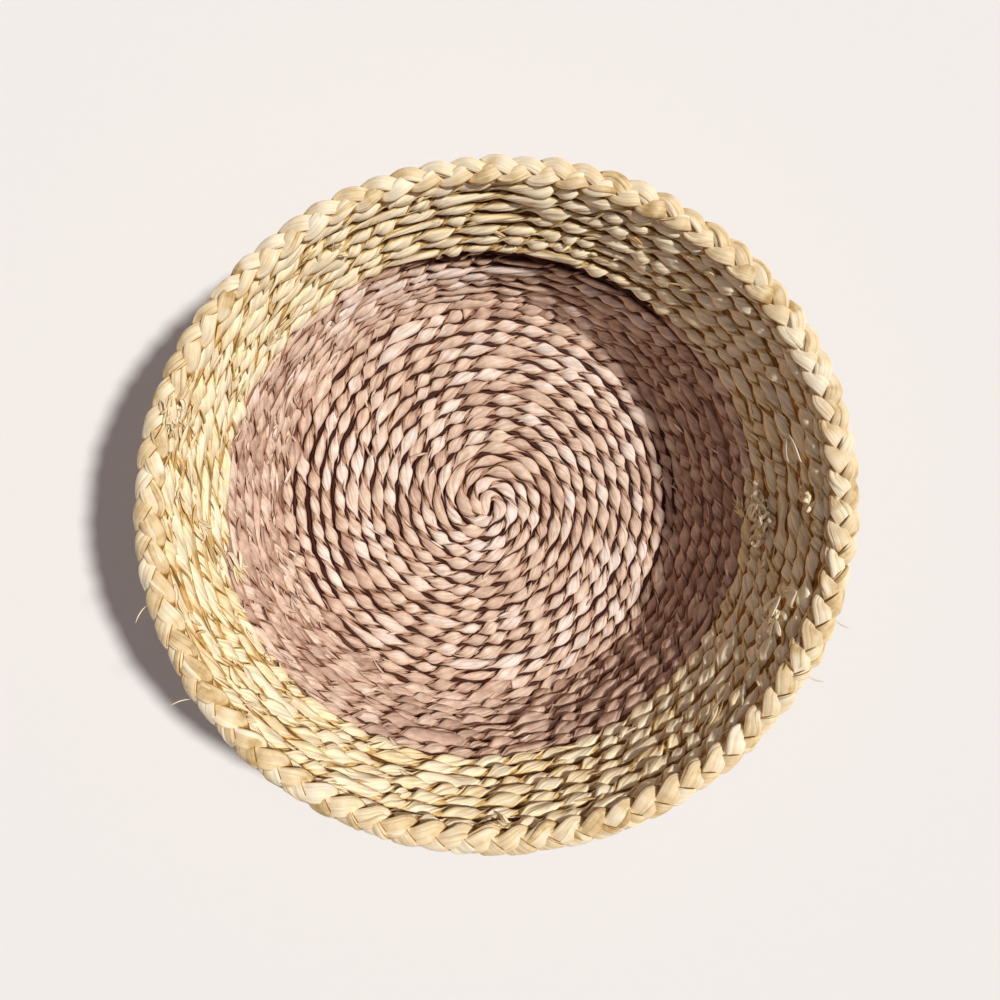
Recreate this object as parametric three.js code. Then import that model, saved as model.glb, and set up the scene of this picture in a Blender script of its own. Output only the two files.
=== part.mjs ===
// A low round coiled basket of twisted seagrass cord, in millimetres, +Z up, standing on z = 0.
// Two cords are wound side by side from the middle of the base: flat at first, round a soft corner
// and up a flared side. The side changes from dyed to natural cord, and a plait of three flat
// strands lies level on the top row.
import * as THREE from "three";

// Rows of cord, counted along the profile from the axis outwards and up
const ROW_PITCH = 8.5;
const ROW_GAP = 0.6;
const CORD_DIAMETER = ROW_PITCH - ROW_GAP;
const CORD_SIDES = 6;
const CORDS_SIDE_BY_SIDE = 2;
const LEAD = CORDS_SIDE_BY_SIDE * ROW_PITCH;

// Turns of each cord from the axis, at which one length of cord ends and the next begins
const STEPS_PER_TURN = 24;
const STEP_ROUNDING = 1e-6;
const CENTRE_TURNS = 0.25;
const BASE_END_TURNS = 7.75;
const COLOUR_CHANGE_TURNS = 12;
const THINNING_TURNS = 15.25;
const TIP_TURNS = THINNING_TURNS + 8 / STEPS_PER_TURN;
const COLOUR_CHANGE_AZIMUTH = THREE.MathUtils.degToRad(-172.5);
const END_GAP = 0.5;

// Profile of the basket: a flat base that ends with the base cords, a corner arc and a flared side
const BASE_FLAT_RADIUS = LEAD * BASE_END_TURNS;
const CORNER_ARC_LENGTH = 2 * ROW_PITCH;
const SIDE_RISE_ANGLE = THREE.MathUtils.degToRad(68);
const CORNER_RADIUS = CORNER_ARC_LENGTH / SIDE_RISE_ANGLE;
const FLAT_CUT = CORD_DIAMETER / 10;
const BASE_ROW_HEIGHT = (CORD_DIAMETER / 2) * Math.cos(Math.PI / CORD_SIDES) - FLAT_CUT;

// The mouth is a little wider along X than along Y, and the base is round
const MOUTH_OVALITY = 0.025;
const OVAL_FROM_LENGTH = BASE_FLAT_RADIUS;
const OVAL_FULL_LENGTH = 24 * ROW_PITCH;

// The plait on the top row
const STRANDS = 3;
const PLAIT_PERIODS = 25;
const STEPS_PER_PERIOD = 6;
const PLAIT_HALF_WIDTH = 9.25;
const STRAND_HALF_WIDTH = 2.95;
const STRAND_HALF_THICKNESS = 2.3;
const PLAIT_SWING = PLAIT_HALF_WIDTH - STRAND_HALF_WIDTH;
const PLAIT_WEAVE = 3;

const RIM_LENGTH = LEAD * THINNING_TURNS + ROW_PITCH / 2;

// The cord centre's radius, height and rise angle at a length along the profile
function profile(length) {
  const past = length - BASE_FLAT_RADIUS;
  if (past <= 0) return { radius: length, height: BASE_ROW_HEIGHT, rise: 0 };
  const rise = Math.min(past, CORNER_ARC_LENGTH) / CORNER_RADIUS;
  const straight = Math.max(past - CORNER_ARC_LENGTH, 0);
  return {
    radius: BASE_FLAT_RADIUS + CORNER_RADIUS * Math.sin(rise) + straight * Math.cos(rise),
    height: BASE_ROW_HEIGHT + CORNER_RADIUS * (1 - Math.cos(rise)) + straight * Math.sin(rise),
    rise,
  };
}

function ovality(length) {
  const share = (length - OVAL_FROM_LENGTH) / (OVAL_FULL_LENGTH - OVAL_FROM_LENGTH);
  return MOUTH_OVALITY * THREE.MathUtils.smoothstep(share, 0, 1);
}

// A point at a radius, azimuth and height on the oval basket, never below what it stands on
function place(radius, azimuth, height, oval) {
  return new THREE.Vector3(
    radius * (1 + oval) * Math.cos(azimuth),
    radius * (1 - oval) * Math.sin(azimuth),
    Math.max(height, 0),
  );
}

// Share of the full cord thickness: the last half turn thins so that the top row ends level
function thinning(turns) {
  const missing = Math.max(turns - THINNING_TURNS, 0) * LEAD;
  return (CORD_DIAMETER - missing) / CORD_DIAMETER;
}

// The corners of one cord's section in the radial plane, with corners towards the next rows
function cordSection(turns, startAzimuth) {
  const share = thinning(turns);
  const sunk = (CORD_DIAMETER * (1 - share)) / 2;
  const length = LEAD * turns - sunk;
  const { radius, height, rise } = profile(length);
  const azimuth = startAzimuth - 2 * Math.PI * turns;
  const corners = [];
  for (let k = 0; k < CORD_SIDES; k += 1) {
    const angle = (2 * Math.PI * k) / CORD_SIDES + rise;
    const reach = (CORD_DIAMETER / 2) * share;
    const corner = [radius + reach * Math.cos(angle), height + reach * Math.sin(angle)];
    corners.push(place(corner[0], azimuth, corner[1], ovality(length)));
  }
  return corners;
}

// A section between two steps lies on the straight facets of the steps, so that rows nest
function facetedSection(turns, startAzimuth) {
  const step = Math.floor(turns * STEPS_PER_TURN + STEP_ROUNDING);
  const share = turns * STEPS_PER_TURN - step;
  const from = cordSection(step / STEPS_PER_TURN, startAzimuth);
  if (share < STEP_ROUNDING) return from;
  const to = cordSection((step + 1) / STEPS_PER_TURN, startAzimuth);
  return from.map((corner, k) => corner.lerp(to[k], share));
}

// All sections of one length of cord, with a small gap to the length before it on its track
function cordSections(fromTurns, toTurns, startAzimuth) {
  const turnLength = 2 * Math.PI * profile(LEAD * fromTurns).radius;
  const gapTurns = fromTurns > CENTRE_TURNS ? END_GAP / turnLength : 0;
  const sections = [facetedSection(fromTurns + gapTurns, startAzimuth)];
  const last = Math.round(toTurns * STEPS_PER_TURN);
  for (let step = Math.round(fromTurns * STEPS_PER_TURN) + 1; step <= last; step += 1) {
    sections.push(facetedSection(step / STEPS_PER_TURN, startAzimuth));
  }
  return sections;
}

// A tube through sections, closed on itself or capped, whose corners run counterclockwise from ahead
function tube(sections, closed) {
  const sides = sections[0].length;
  const positions = sections.flat().flatMap((corner) => [corner.x, corner.y, corner.z]);
  const index = [];
  const spans = closed ? sections.length : sections.length - 1;
  for (let i = 0; i < spans; i += 1) {
    const here = i * sides;
    const next = ((i + 1) % sections.length) * sides;
    for (let k = 0; k < sides; k += 1) {
      const m = (k + 1) % sides;
      index.push(here + k, here + m, next + m);
      index.push(here + k, next + m, next + k);
    }
  }
  const end = (sections.length - 1) * sides;
  for (let k = 1; k < sides - 1 && !closed; k += 1) {
    index.push(0, k + 1, k);
    index.push(end, end + k, end + k + 1);
  }
  const geometry = new THREE.BufferGeometry();
  geometry.setAttribute("position", new THREE.Float32BufferAttribute(positions, 3));
  geometry.setIndex(index);
  return geometry;
}

// The least distance between the edges of two sections, from points along them
function leastDistance(sectionA, sectionB) {
  const along = (section) =>
    section.flatMap((corner, k) => {
      const next = section[(k + 1) % section.length];
      return [0, 0.25, 0.5, 0.75].map((share) => corner.clone().lerp(next, share));
    });
  const pointsB = along(sectionB);
  return Math.min(...along(sectionA).flatMap((a) => pointsB.map((b) => a.distanceTo(b))));
}

// The least gap between sections that lie a number of steps apart in the same radial plane
function leastGap(sectionsA, sectionsB, stepsApart) {
  let least = Infinity;
  for (let i = 1; i + stepsApart < sectionsB.length && i < sectionsA.length; i += 1) {
    least = Math.min(least, leastDistance(sectionsA[i], sectionsB[i + stepsApart]));
  }
  return least;
}

// One strand of the plait: it swings from edge to edge and goes over and under the other two.
// Its lowest ridges are level with the top row's upper edge, just inside that edge.
function strandSections(strand) {
  const rim = profile(RIM_LENGTH);
  const height = rim.height + PLAIT_WEAVE * Math.sin(Math.PI / 3) + STRAND_HALF_THICKNESS;
  const steps = PLAIT_PERIODS * STEPS_PER_PERIOD;
  const sections = [];
  for (let i = 0; i < steps; i += 1) {
    const azimuth = (-2 * Math.PI * i) / steps;
    const phase = azimuth * PLAIT_PERIODS + (2 * Math.PI * strand) / STRANDS + Math.PI / STEPS_PER_PERIOD;
    const radius = rim.radius + PLAIT_SWING * Math.sin(phase);
    const level = height + PLAIT_WEAVE * Math.sin(2 * phase);
    sections.push([
      place(radius + STRAND_HALF_WIDTH, azimuth, level, MOUTH_OVALITY),
      place(radius, azimuth, level + STRAND_HALF_THICKNESS, MOUTH_OVALITY),
      place(radius - STRAND_HALF_WIDTH, azimuth, level, MOUTH_OVALITY),
      place(radius, azimuth, level - STRAND_HALF_THICKNESS, MOUTH_OVALITY),
    ]);
  }
  return sections;
}

// One pair of colours for each length of cord, and one colour for each strand
const DYED = [0xb58d7d, 0xa37c6e];
const NATURAL = [0xdcc48c, 0xcbb27a];
const PLAITED = [0xe3cd98, 0xd6bd85, 0xc9ae74];
const DRY_FIBRE_ROUGHNESS = 0.9;

const LENGTHS_OF_CORD = [
  { name: "base_cord", from: CENTRE_TURNS, to: BASE_END_TURNS, colours: DYED },
  { name: "lower_side_cord", from: BASE_END_TURNS, to: COLOUR_CHANGE_TURNS, colours: DYED },
  { name: "upper_side_cord", from: COLOUR_CHANGE_TURNS, to: TIP_TURNS, colours: NATURAL },
];

function namedMesh(name, sections, closed, color) {
  const geometry = tube(sections, closed).toNonIndexed();
  geometry.computeVertexNormals();
  const material = new THREE.MeshStandardMaterial({ color, roughness: DRY_FIBRE_ROUGHNESS });
  const mesh = new THREE.Mesh(geometry, material);
  mesh.name = name;
  return mesh;
}

// Two cords side by side, half a turn apart, with their least gaps printed
function cordPair({ name, from, to, colours }) {
  const coils = colours.map((_, k) =>
    cordSections(from, to, COLOUR_CHANGE_AZIMUTH + (2 * Math.PI * k) / CORDS_SIDE_BY_SIDE),
  );
  const toItself = leastGap(coils[0], coils[0], STEPS_PER_TURN).toFixed(2);
  const toOther = leastGap(coils[0], coils[1], STEPS_PER_TURN / CORDS_SIDE_BY_SIDE).toFixed(2);
  console.log(`${name}: least gap to itself ${toItself} mm, to the cord beside it ${toOther} mm`);
  return coils.map((sections, k) => namedMesh(`${name}_${k + 1}`, sections, false, colours[k]));
}

function plait() {
  return PLAITED.map((color, k) => namedMesh(`rim_strand_${k + 1}`, strandSections(k), true, color));
}

const basket = new THREE.Group();
basket.name = "seagrass_basket";
basket.add(...LENGTHS_OF_CORD.flatMap(cordPair));
basket.add(...plait());

export default basket;
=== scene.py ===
"""Dresses the coiled seagrass basket. Lengths are in metres and angles in radians.

Each cord is two plies of leaf twisted along the frame's coil, and three strands are plaited round the
mouth. Slivers, tufts and loose fibres come last. Azimuths run counterclockwise from +X, and a clock
angle is in degrees clockwise from the picture's right, which is +X too.
"""

import math

import bpy
import numpy as np
from mathutils import Matrix, Vector


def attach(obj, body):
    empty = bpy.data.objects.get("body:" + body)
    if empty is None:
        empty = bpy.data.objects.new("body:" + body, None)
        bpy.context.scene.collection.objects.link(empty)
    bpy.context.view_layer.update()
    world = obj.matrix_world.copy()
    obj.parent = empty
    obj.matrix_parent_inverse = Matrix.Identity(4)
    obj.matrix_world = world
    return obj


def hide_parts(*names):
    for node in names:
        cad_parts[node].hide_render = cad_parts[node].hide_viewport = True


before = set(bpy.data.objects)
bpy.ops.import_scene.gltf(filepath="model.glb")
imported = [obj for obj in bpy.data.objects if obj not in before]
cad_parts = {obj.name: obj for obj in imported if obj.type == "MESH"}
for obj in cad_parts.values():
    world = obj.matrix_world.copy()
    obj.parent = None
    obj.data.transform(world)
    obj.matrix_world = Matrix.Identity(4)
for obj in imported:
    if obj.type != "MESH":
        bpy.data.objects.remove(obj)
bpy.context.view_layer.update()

# The coil, as in the frame: rows counted along the profile, two cords side by side. Only the tips run
# a little farther here.
ROW_PITCH = 0.0085
CORDS = 2
LEAD = CORDS * ROW_PITCH
BASE_END_TURNS = 7.75
COLOUR_CHANGE_TURNS = 12
THINNING_TURNS = 15.25
TIP_TURNS = THINNING_TURNS + 0.36
TIP_THICKNESS = 0.12
COLOUR_CHANGE_AZIMUTH = math.radians(-172.5)
BASE_FLAT_RADIUS = LEAD * BASE_END_TURNS
CORNER_ARC_LENGTH = 2 * ROW_PITCH
SIDE_RISE = math.radians(68)
CORNER_RADIUS = CORNER_ARC_LENGTH / SIDE_RISE
MOUTH_OVALITY = 0.025
OVAL_FULL_LENGTH = 24 * ROW_PITCH
RIM_LENGTH = LEAD * THINNING_TURNS + ROW_PITCH / 2
FINE_STEPS_PER_TURN = 720

# The rows of the base lie on the floor uncut, and those of the side are as high as in the frame. No
# point of a ply or of a thinner piece comes nearer to the floor than its clearance.
BASE_ROW_HEIGHT = 0.0041
SIDE_ROW_HEIGHT = 0.00263
PLY_CLEARANCE = 0.0001
THREAD_CLEARANCE = 0.0002

# On the far side the lowest natural rows hang inwards over the highest dyed row, which is sunk
# outwards and has painted shadow on its inner face. Heights are in rows from the change of colour.
OVERHANG_AZIMUTH = math.radians(78)
OVERHANG_SPREAD = math.radians(36)
OVERHANG_FROM = -0.9
OVERHANG_FADES_OVER = 3.0
OVERHANG_IN = 0.0034
OVERHANG_LIFT = 0.4
SUNK_ROW = -1.25
SUNK_SPREAD = 0.8
SUNK_OUT = 0.0020
SUNK_SHADE = 1.5
SUNK_DARKEST = 0.95
SUNK_FACE_FROM = 0.3

# The two cords are one length bent double. The bend lies beside the axis, and from there each cord
# heads for the place where it joins its spiral.
BEND = np.array([-0.5, -1.12]) * ROW_PITCH
BEND_SHIFTS = (0.09 * ROW_PITCH, -0.12 * ROW_PITCH)
BEND_HEADINGS = ((0.2, 1.0), (-0.45, 1.0))
BEND_REACH = 1.25
BEND_STEPS = 40
JOIN_TURNS = (0.36, 0.62)
JOIN_STEP_TURNS = 0.004

# The twist of the two plies: the length of a turn, longer on the side and shorter on its right, how
# much longer a ply stays on the faces than between rows, and how far it leans round on the side
LAY = 4.5 * ROW_PITCH
SIDE_LAY = 0.2
RIGHT_LAY = 0.38
DWELL = 0.12
PLUMP_DWELL = 0.2
FACE_LEAN = math.radians(30)

# How plump the leaves look, from 0 on the left of the side to 1 on its near and far parts: on the base
# and on the right of the side. Rows that lie level before and behind the axis have broader leaves.
BASE_PLUMP = 0.42
RIGHT_PLUMP = 0.6
LEVEL_BREADTH = 0.14

# The section of a ply. One that faces a neighbouring row is squeezed in width and in thickness, less
# so on the side and more so where it is plump, and pressed flat at a limit. Loose leaf starts on the
# surface, and the core fills the middle, with a darker tone and a crest of its own that paint the shade
# deep between the plies.
PLY_OFFSET = 0.12 * ROW_PITCH
PLY_OUTER = 0.38 * ROW_PITCH
PLY_INNER = 0.15 * ROW_PITCH
PLY_HALF_WIDTH = 0.515 * ROW_PITCH
PLY_SIDES = 20
SQUEEZE_WIDTH = 0.40
SQUEEZE_THICKNESS = 0.32
SIDE_SQUEEZE = -0.4
PLUMP_SQUEEZE = 0.75
CORD_LIMIT = 0.55 * ROW_PITCH
LIMIT_SHARPNESS = 8
CORE_RADIUS = 0.29 * ROW_PITCH
CORE_TONE = 0.2
CORE_CREST = 0.62
SURFACE = 0.45 * ROW_PITCH
CORD_STEP = 0.0016

# How the leaves differ: sizes, shifts towards a neighbouring row, tones, and the share of a turn over
# which one passes into the next
LEAF_SIZES = (0.86, 1.13)
LEAF_SHIFTS = (-0.10 * ROW_PITCH, 0.10 * ROW_PITCH)
LEAF_TONES = (0.16, 0.84)
LEAF_CHANGE = 0.1

# What wanders along a cord: the length over which it does, and how much
PLY_SIZE_WANDER = (0.022, 0.05)
PLY_BREADTH_WANDER = (0.017, 0.07)
ROW_WANDER = (0.03, 0.0003)
INWARD_WANDER = (0.024, 0.00045)
TWIST_WANDERS = ((0.03, 0.65), (0.11, 0.9))
SIDE_TWIST_WANDER = 0.5
TONE_WANDER = (0.09, 0.11)
UNLIKE_PLIES = 0.04
UNLIKE_WANDER = (0.15, 0.07)

# Lengthwise folds of a leaf: how many lie round it and how deep they are, their depth on the base and
# its rise up the side, and how fast they turn round the ply
FOLDS = ((2, 0.5), (3, 1.0), (5, 0.9), (8, 0.7))
FOLD_DEPTH = 0.05
SIDE_FOLD_DEPTH = 0.04
FOLD_TURN = 110
FOLD_WANDER = (0.02, 0.8)

# How much painted shade the grooves between rows get. A groove starts at a distance from the row's
# centre, farther out on the base, and the painted shade fades out of it at a steepness that differs round
# the basket. The far part of the side gets painted shade all over.
GROOVE_FROM = 0.40 * ROW_PITCH
BASE_GROOVE_FARTHER = 0.22
STEEPNESS = 3.2
LEVEL_STEEPNESS = 1.8
SIDE_STEEPNESS = -1.1
PLUMP_STEEPNESS = -0.9
FAR_STEEPNESS = -0.15
RIGHT_STEEPNESS = 0.8
APART_STEEPNESS = -1.6
FAR_PAINTED_SHADE = 0.5

# How far round a ply its outer face stays free of the painted groove shade
OPEN_FACE = 0.38
OPEN_FACE_ROUND = 0.6
SIDE_OPEN_FACE = 0.15
RIGHT_OPEN_FACE = 0.22

# Painted light and shade in the tone: how much paler leaves are where light falls along them and on the
# far part of the side, and how much darker dyed ones are on the right, where the side is in shade
PLUMP_LIT = 0.15
FAR_LIT = 0.5
RIGHT_PAINTED_SHADE = 0.3

# At the edge of the base on the left the rows stand apart, with more painted shade between them
APART_SPREAD = math.radians(38)
APART_ROWS = 2
APART_THINNING = 0.12

# The ends of the cords at the change of colour: the taper, the thickness of the tip, and how far the
# natural cord starts before the dyed one ends
SPLICE_TAPER = 0.008
SPLICE_THICKNESS = 0.7
SPLICE_TURNS = 0.004

# The twine that sews a row to the next, coloured with painted groove shade: thicker, shallower and with
# less painted shade on the worn side, thicker, deeper and with less painted shade on the right of the
# side, and with less painted shade before and behind the axis on the base
TWINE_RADIUS = 0.22 * ROW_PITCH
TWINE_DEPTH = 0.12 * ROW_PITCH
TWINE_STEP = 0.004
TWINE_SIDES = 6
TWINE_END_TURNS = THINNING_TURNS - 0.15
WORN_TWINE_RADIUS = 0.6
WORN_TWINE_CREST = 0.75
RIGHT_TWINE_RADIUS = 0.75
RIGHT_TWINE_DEPTH = 0.6
RIGHT_TWINE_CREST = 0.29
LEVEL_TWINE_CREST = 0.12

# The side on which many leaves are torn, and the share of that wear on the rest of the basket
WORN_AZIMUTH = math.radians(184)
WORN_SPREAD = math.radians(42)
LEAST_WEAR = 0.13

# Each kind of cord: the turns from and to which it runs, its slot, its tone, how much paler it is where
# worn, which also takes painted shade out of its grooves there, and how many slivers might stand out of
# it
KINDS_OF_CORD = (
    ("base_cord", 0, BASE_END_TURNS, "mauve_cord", 0.24, 0.0, 110),
    ("lower_side_cord", BASE_END_TURNS, COLOUR_CHANGE_TURNS, "mauve_cord", -0.16, 0.0, 700),
    ("upper_side_cord", COLOUR_CHANGE_TURNS, TIP_TURNS, "natural_cord", 0.1, 0.24, 850),
)

# Ribbons of loose leaf: sides and flatness of the section and, for a sliver, steps, least width, how it
# tapers and lifts, and its crest at the edge and what the face has more, which paint shade on its edges
RIBBON_SIDES = 6
RIBBON_FLATNESS = 0.3
SLIVER_STEPS = 8
SLIVER_TIP = 0.02
SLIVER_TAPER = 0.7
SLIVER_LIFT = 1.6
SLIVER_CREST = (0.32, 0.7)

# Slivers that stand out of a cord: their turn and its spread, place, length, width, lift and bend
SLIVER_TURN = (0.25, 0.3)
SLIVER_SIDE = 0.42
ROOT_RADIUS_SQUARED = 0.2
SLIVER_LENGTHS = (0.005, 0.016)
SLIVER_WIDTHS = (0.0007, 0.0024)
SIDE_SLIVER_WIDTH = 0.0014
SLIVER_LIFTS = (0.0002, 0.0008)
SLIVER_BEND = 0.2

# Loops of leaf on the side: clock angle, rows high, turn from straight ahead in degrees, reach, span,
# lift, width and tone
LOOPS = (
    (351, 11.9, 180, 0.019, 0.010, 0.009, 0.0030, 1.3),
    (24, 11.4, 160, 0.015, 0.007, 0.009, 0.0038, 1.1),
    (19.5, 12.3, 135, 0.009, 0.009, 0.008, 0.0056, 0.9),
    (27, 12.4, 200, 0.009, 0.007, 0.005, 0.0044, 0.8),
    (170.5, 7.0, 180, 0.012, 0.010, 0.004, 0.0048, 1.3),
    (177, 10.5, 200, 0.008, 0.007, 0.004, 0.0026, 0.9),
)
LOOP_STEPS = 21
LOOP_ROOT_DEPTH = 0.0012
LOOP_CREST = (1.0, 0.0)

# Crumpled knots of leaf: clock angle, rows high, count of ribbons and reach
KNOTS = (
    (0.4, 8.9, 9, 0.016),
    (6.2, 9.0, 8, 0.013),
    (358.6, 12.4, 5, 0.010),
    (23, 11.6, 7, 0.012),
    (197, 13.9, 6, 0.011),
    (236, 11.5, 2, 0.007),
)
KNOT_STEPS = 24
KNOT_TURN = 0.9
KNOT_WAVES = (1, 2, 3)
KNOT_SCATTER = (0.28, 0.16)
KNOT_SWIRLS = (0.34, 0.22, 0.16)
KNOT_HEIGHT = 0.2
KNOT_TWIST = 0.8
KNOT_HALF_WIDTHS = (0.08, 0.18)
KNOT_FLATNESS = 0.2
KNOT_TONES = (0.5, 1.5)
KNOT_CREST = (0.5, 0.6)

# Tufts of torn ends on the side: clock angle, rows high, turn, count, reach and lift
TUFTS = (
    (168, 7.1, 190, 14, 0.012, 0.002),
    (3, 7.1, 190, 14, 0.012, 0.004),
    (16, 9.0, 150, 8, 0.012, 0.004),
    (216, 8.8, 20, 12, 0.010, 0.003),
    (236, 11.5, 40, 10, 0.009, 0.003),
    (309, 11.0, 200, 4, 0.016, 0.004),
    (50, 12.5, 200, 4, 0.018, 0.004),
    (91, 13.6, 10, 8, 0.010, 0.004),
    (178, 10.2, 200, 8, 0.010, 0.002),
    (197, 14.3, 200, 12, 0.012, 0.003),
    (193, 13.6, 0, 10, 0.018, 0.002),
    (193, 14.1, 0, 10, 0.018, 0.002),
    (199, 14.2, 160, 8, 0.010, 0.003),
)
TUFT_SCATTER = 0.0012
TUFT_FAN = 0.35
TUFT_WIDTHS = (0.0009, 0.0034)
TUFT_REACHES = (0.5, 1.2)
TUFT_LIFTS = (0.3, 1.2)
TUFT_BEND = 0.25
TUFT_TONES = (0.3, 1.0)

# Thin fibres that stand out from the plait's outer edge: clock angle and turn from straight out
STRAYS = ((20, 35), (31, 10), (166, -25), (150, 40))
STRAY_LENGTH = 0.009
STRAY_WIDTH = 0.0008
STRAY_RISE = 0.2
STRAY_LIFT = 0.001
STRAY_BEND = 0.4

# The plait on the rim, whose strands swing from edge to edge, over and under one another. What differs
# round the rim is given as its mean and its rise towards +X and towards +Y.
STRANDS = 3
PLAIT_PERIODS = 25
STRAND_STEPS = PLAIT_PERIODS * 24
PLAIT_SWING = 0.0043
PLAIT_WEAVE = 0.0022
PLAIT_SHARPNESS = 0.93
PLAIT_OUTWARD = (0.0038, 0.0023, -0.0011)
PLAIT_BREADTH = (1.16, 0.18, -0.21)
PLAIT_HEIGHT_OVER_RIM = 0.0037

# The plait's face leans inwards, most so at one azimuth, and opposite that its edges curl down
PLAIT_TILT = math.radians(5)
PLAIT_TILT_MORE = math.radians(3)
PLAIT_TILT_AZIMUTH = math.radians(60)
PLAIT_CURL = 0.0009
INNER_CURL = 0.3
OUTER_CURL = 2.0

# Each strand is a broad blade and a narrow one that strays across it: shares of the full width, stray
# to the side and rise. Painted shade darkens a blade's edges and where a strand goes under another, and
# fades from them at a steepness.
BLADES = ((1.0, 0.0, 0.0), (0.34, 0.6, 0.0009))
STRAND_HALF_WIDTH = 0.0045
STRAND_PINCH = 0.15
BLADE_HALF_THICKNESS = 0.0019
BLADE_SIDES = 20
BLADE_RISE = 0.0004
BLADE_WIDTH_VARIES = 0.09
BLADE_RIDGES = (7, 11)
BLADE_RIDGE_DEPTH = 0.02
BLADE_RIDGE_DRIFT = 1.5
BLADE_STRAY_WAVES = (9, 19)
BLADE_RISE_WAVES = (12, 30)
BLADE_EDGE_CREST = 0.08
BLADE_STEEPNESS = 2.3
UNDER_CREST = 0.1
UNDER_STEEPNESS = 2.0

# The lacing under the plait: a twisted cord with a tall oval section
LACING_RADII = (0.0034, 0.0052)
LACING_HEIGHT = -0.0012
LACING_OUTWARD = 0.2
LACING_STEPS = 900
LACING_SIDES = 16
LACING_TWISTS = 84
LACING_PLY = 0.10

# Patterns in the leaf: the radius they run round, then the scale, detail and lengthwise share of each
GRAIN_RADIUS = 0.003
STREAKS = (900, 3, 0.09)
CREASES = (260, 1.5, 0.06)
BLOTCHES = (140, 4, 1)

# How a leaf's own tone and its blotches add up to a place among the tones, and where those stand
LEAF_SHARE = 0.6
LEAF_FROM = -0.22
BLOTCH_SHARE = 0.9
TONE_STOPS = (0.10, 0.35, 0.60, 0.90)

# How near a crease is dark and sunk, how much darker than streaks it is, and where streaks turn pale
CREASE_DARK_WITHIN = 0.05
CREASE_SUNK_WITHIN = 0.12
CREASE_DARKENING = 1.5
STREAK_RANGE = (0.3, 0.7)

# The crest from which a place is out of painted shade, and those between which its painted deepening
# fades
OPEN_CREST = 0.62
DEEP_CRESTS = (0.2, 0.9)

# The gloss of dry leaf, and its relief, stronger where contrast is
SPECULAR_LEVEL = 0.2
ROUGHNESS_SPREAD = (-0.12, 0.15)
STREAK_RELIEF = 0.5
BUMP_STRENGTH = 0.1
CONTRAST_BUMP = 4.5
BUMP_DISTANCE = 0.0004

# Seeds of the random draws
CORD_SEEDS = 10
STRAND_SEEDS = 40
LOOSE_SEED = 77


def smoothstep(share):
    share = np.clip(share, 0, 1)
    return share * share * (3 - 2 * share)


def wander(rng, along, wavelength, size):
    """A smooth random value at each place along a line, about size to either side."""
    knots = rng.normal(0, size, int((along[-1] - along[0]) / wavelength) + 3)
    at = (along - along[0]) / wavelength
    left = np.floor(at).astype(int)
    return knots[left] + (knots[left + 1] - knots[left]) * smoothstep(at - left)


def profile(length):
    """Radius, height and rise angle of the row centre at lengths along the profile."""
    past = np.maximum(length - BASE_FLAT_RADIUS, 0)
    rise = np.minimum(past, CORNER_ARC_LENGTH) / CORNER_RADIUS
    straight = np.maximum(past - CORNER_ARC_LENGTH, 0)
    radius = np.minimum(length, BASE_FLAT_RADIUS) + CORNER_RADIUS * np.sin(rise) + straight * np.cos(rise)
    foot = BASE_ROW_HEIGHT + (SIDE_ROW_HEIGHT - BASE_ROW_HEIGHT) * rise / SIDE_RISE
    height = foot + CORNER_RADIUS * (1 - np.cos(rise)) + straight * np.sin(rise)
    return radius, height, rise


def ovality(length):
    return MOUTH_OVALITY * smoothstep((length - BASE_FLAT_RADIUS) / (OVAL_FULL_LENGTH - BASE_FLAT_RADIUS))


def place(radius, azimuth, height, oval):
    """Points at radii, azimuths and heights on the oval basket."""
    return np.stack(
        [radius * (1 + oval) * np.cos(azimuth), radius * (1 - oval) * np.sin(azimuth), height], -1
    )


def unit(vectors):
    return vectors / np.linalg.norm(vectors, axis=-1, keepdims=True)


def across(vectors, axis):
    """The vectors made square to a unit axis."""
    return unit(vectors - (vectors * axis).sum(-1, keepdims=True) * axis)


def circle(sides):
    """The angles of the corners of a section."""
    return np.arange(sides) * math.tau / sides


def angle_between(azimuth, middle):
    return (azimuth - middle + math.pi) % math.tau - math.pi


def overhang(length, azimuth):
    """How much a place hangs inwards and how much it is sunk, where natural rows hang over dyed ones."""
    here = np.exp(-((angle_between(azimuth, OVERHANG_AZIMUTH) / OVERHANG_SPREAD) ** 2))
    turns_up = (COLOUR_CHANGE_AZIMUTH - azimuth) / math.tau % (1 / CORDS)
    rows_up = length / ROW_PITCH - CORDS * (COLOUR_CHANGE_TURNS + turns_up)
    hanging = smoothstep(rows_up - OVERHANG_FROM) * np.exp(-np.maximum(rows_up, 0) / OVERHANG_FADES_OVER)
    sunk = np.exp(-(((rows_up - SUNK_ROW) / SUNK_SPREAD) ** 2))
    return here * hanging, here * sunk


def coil_point(length, azimuth):
    """Centre of the coil and the direction towards the next row, at profile lengths and azimuths."""
    radius, height, rise = profile(length)
    hanging, sunk = overhang(length, azimuth)
    inwards = OVERHANG_IN * hanging - SUNK_OUT * sunk
    centre = place(radius - inwards, azimuth, height + OVERHANG_LIFT * inwards, ovality(length))
    flat, up = np.cos(rise), np.sin(rise)
    return centre, np.stack([flat * np.cos(azimuth), flat * np.sin(azimuth), up + 0 * azimuth], -1)


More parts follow.
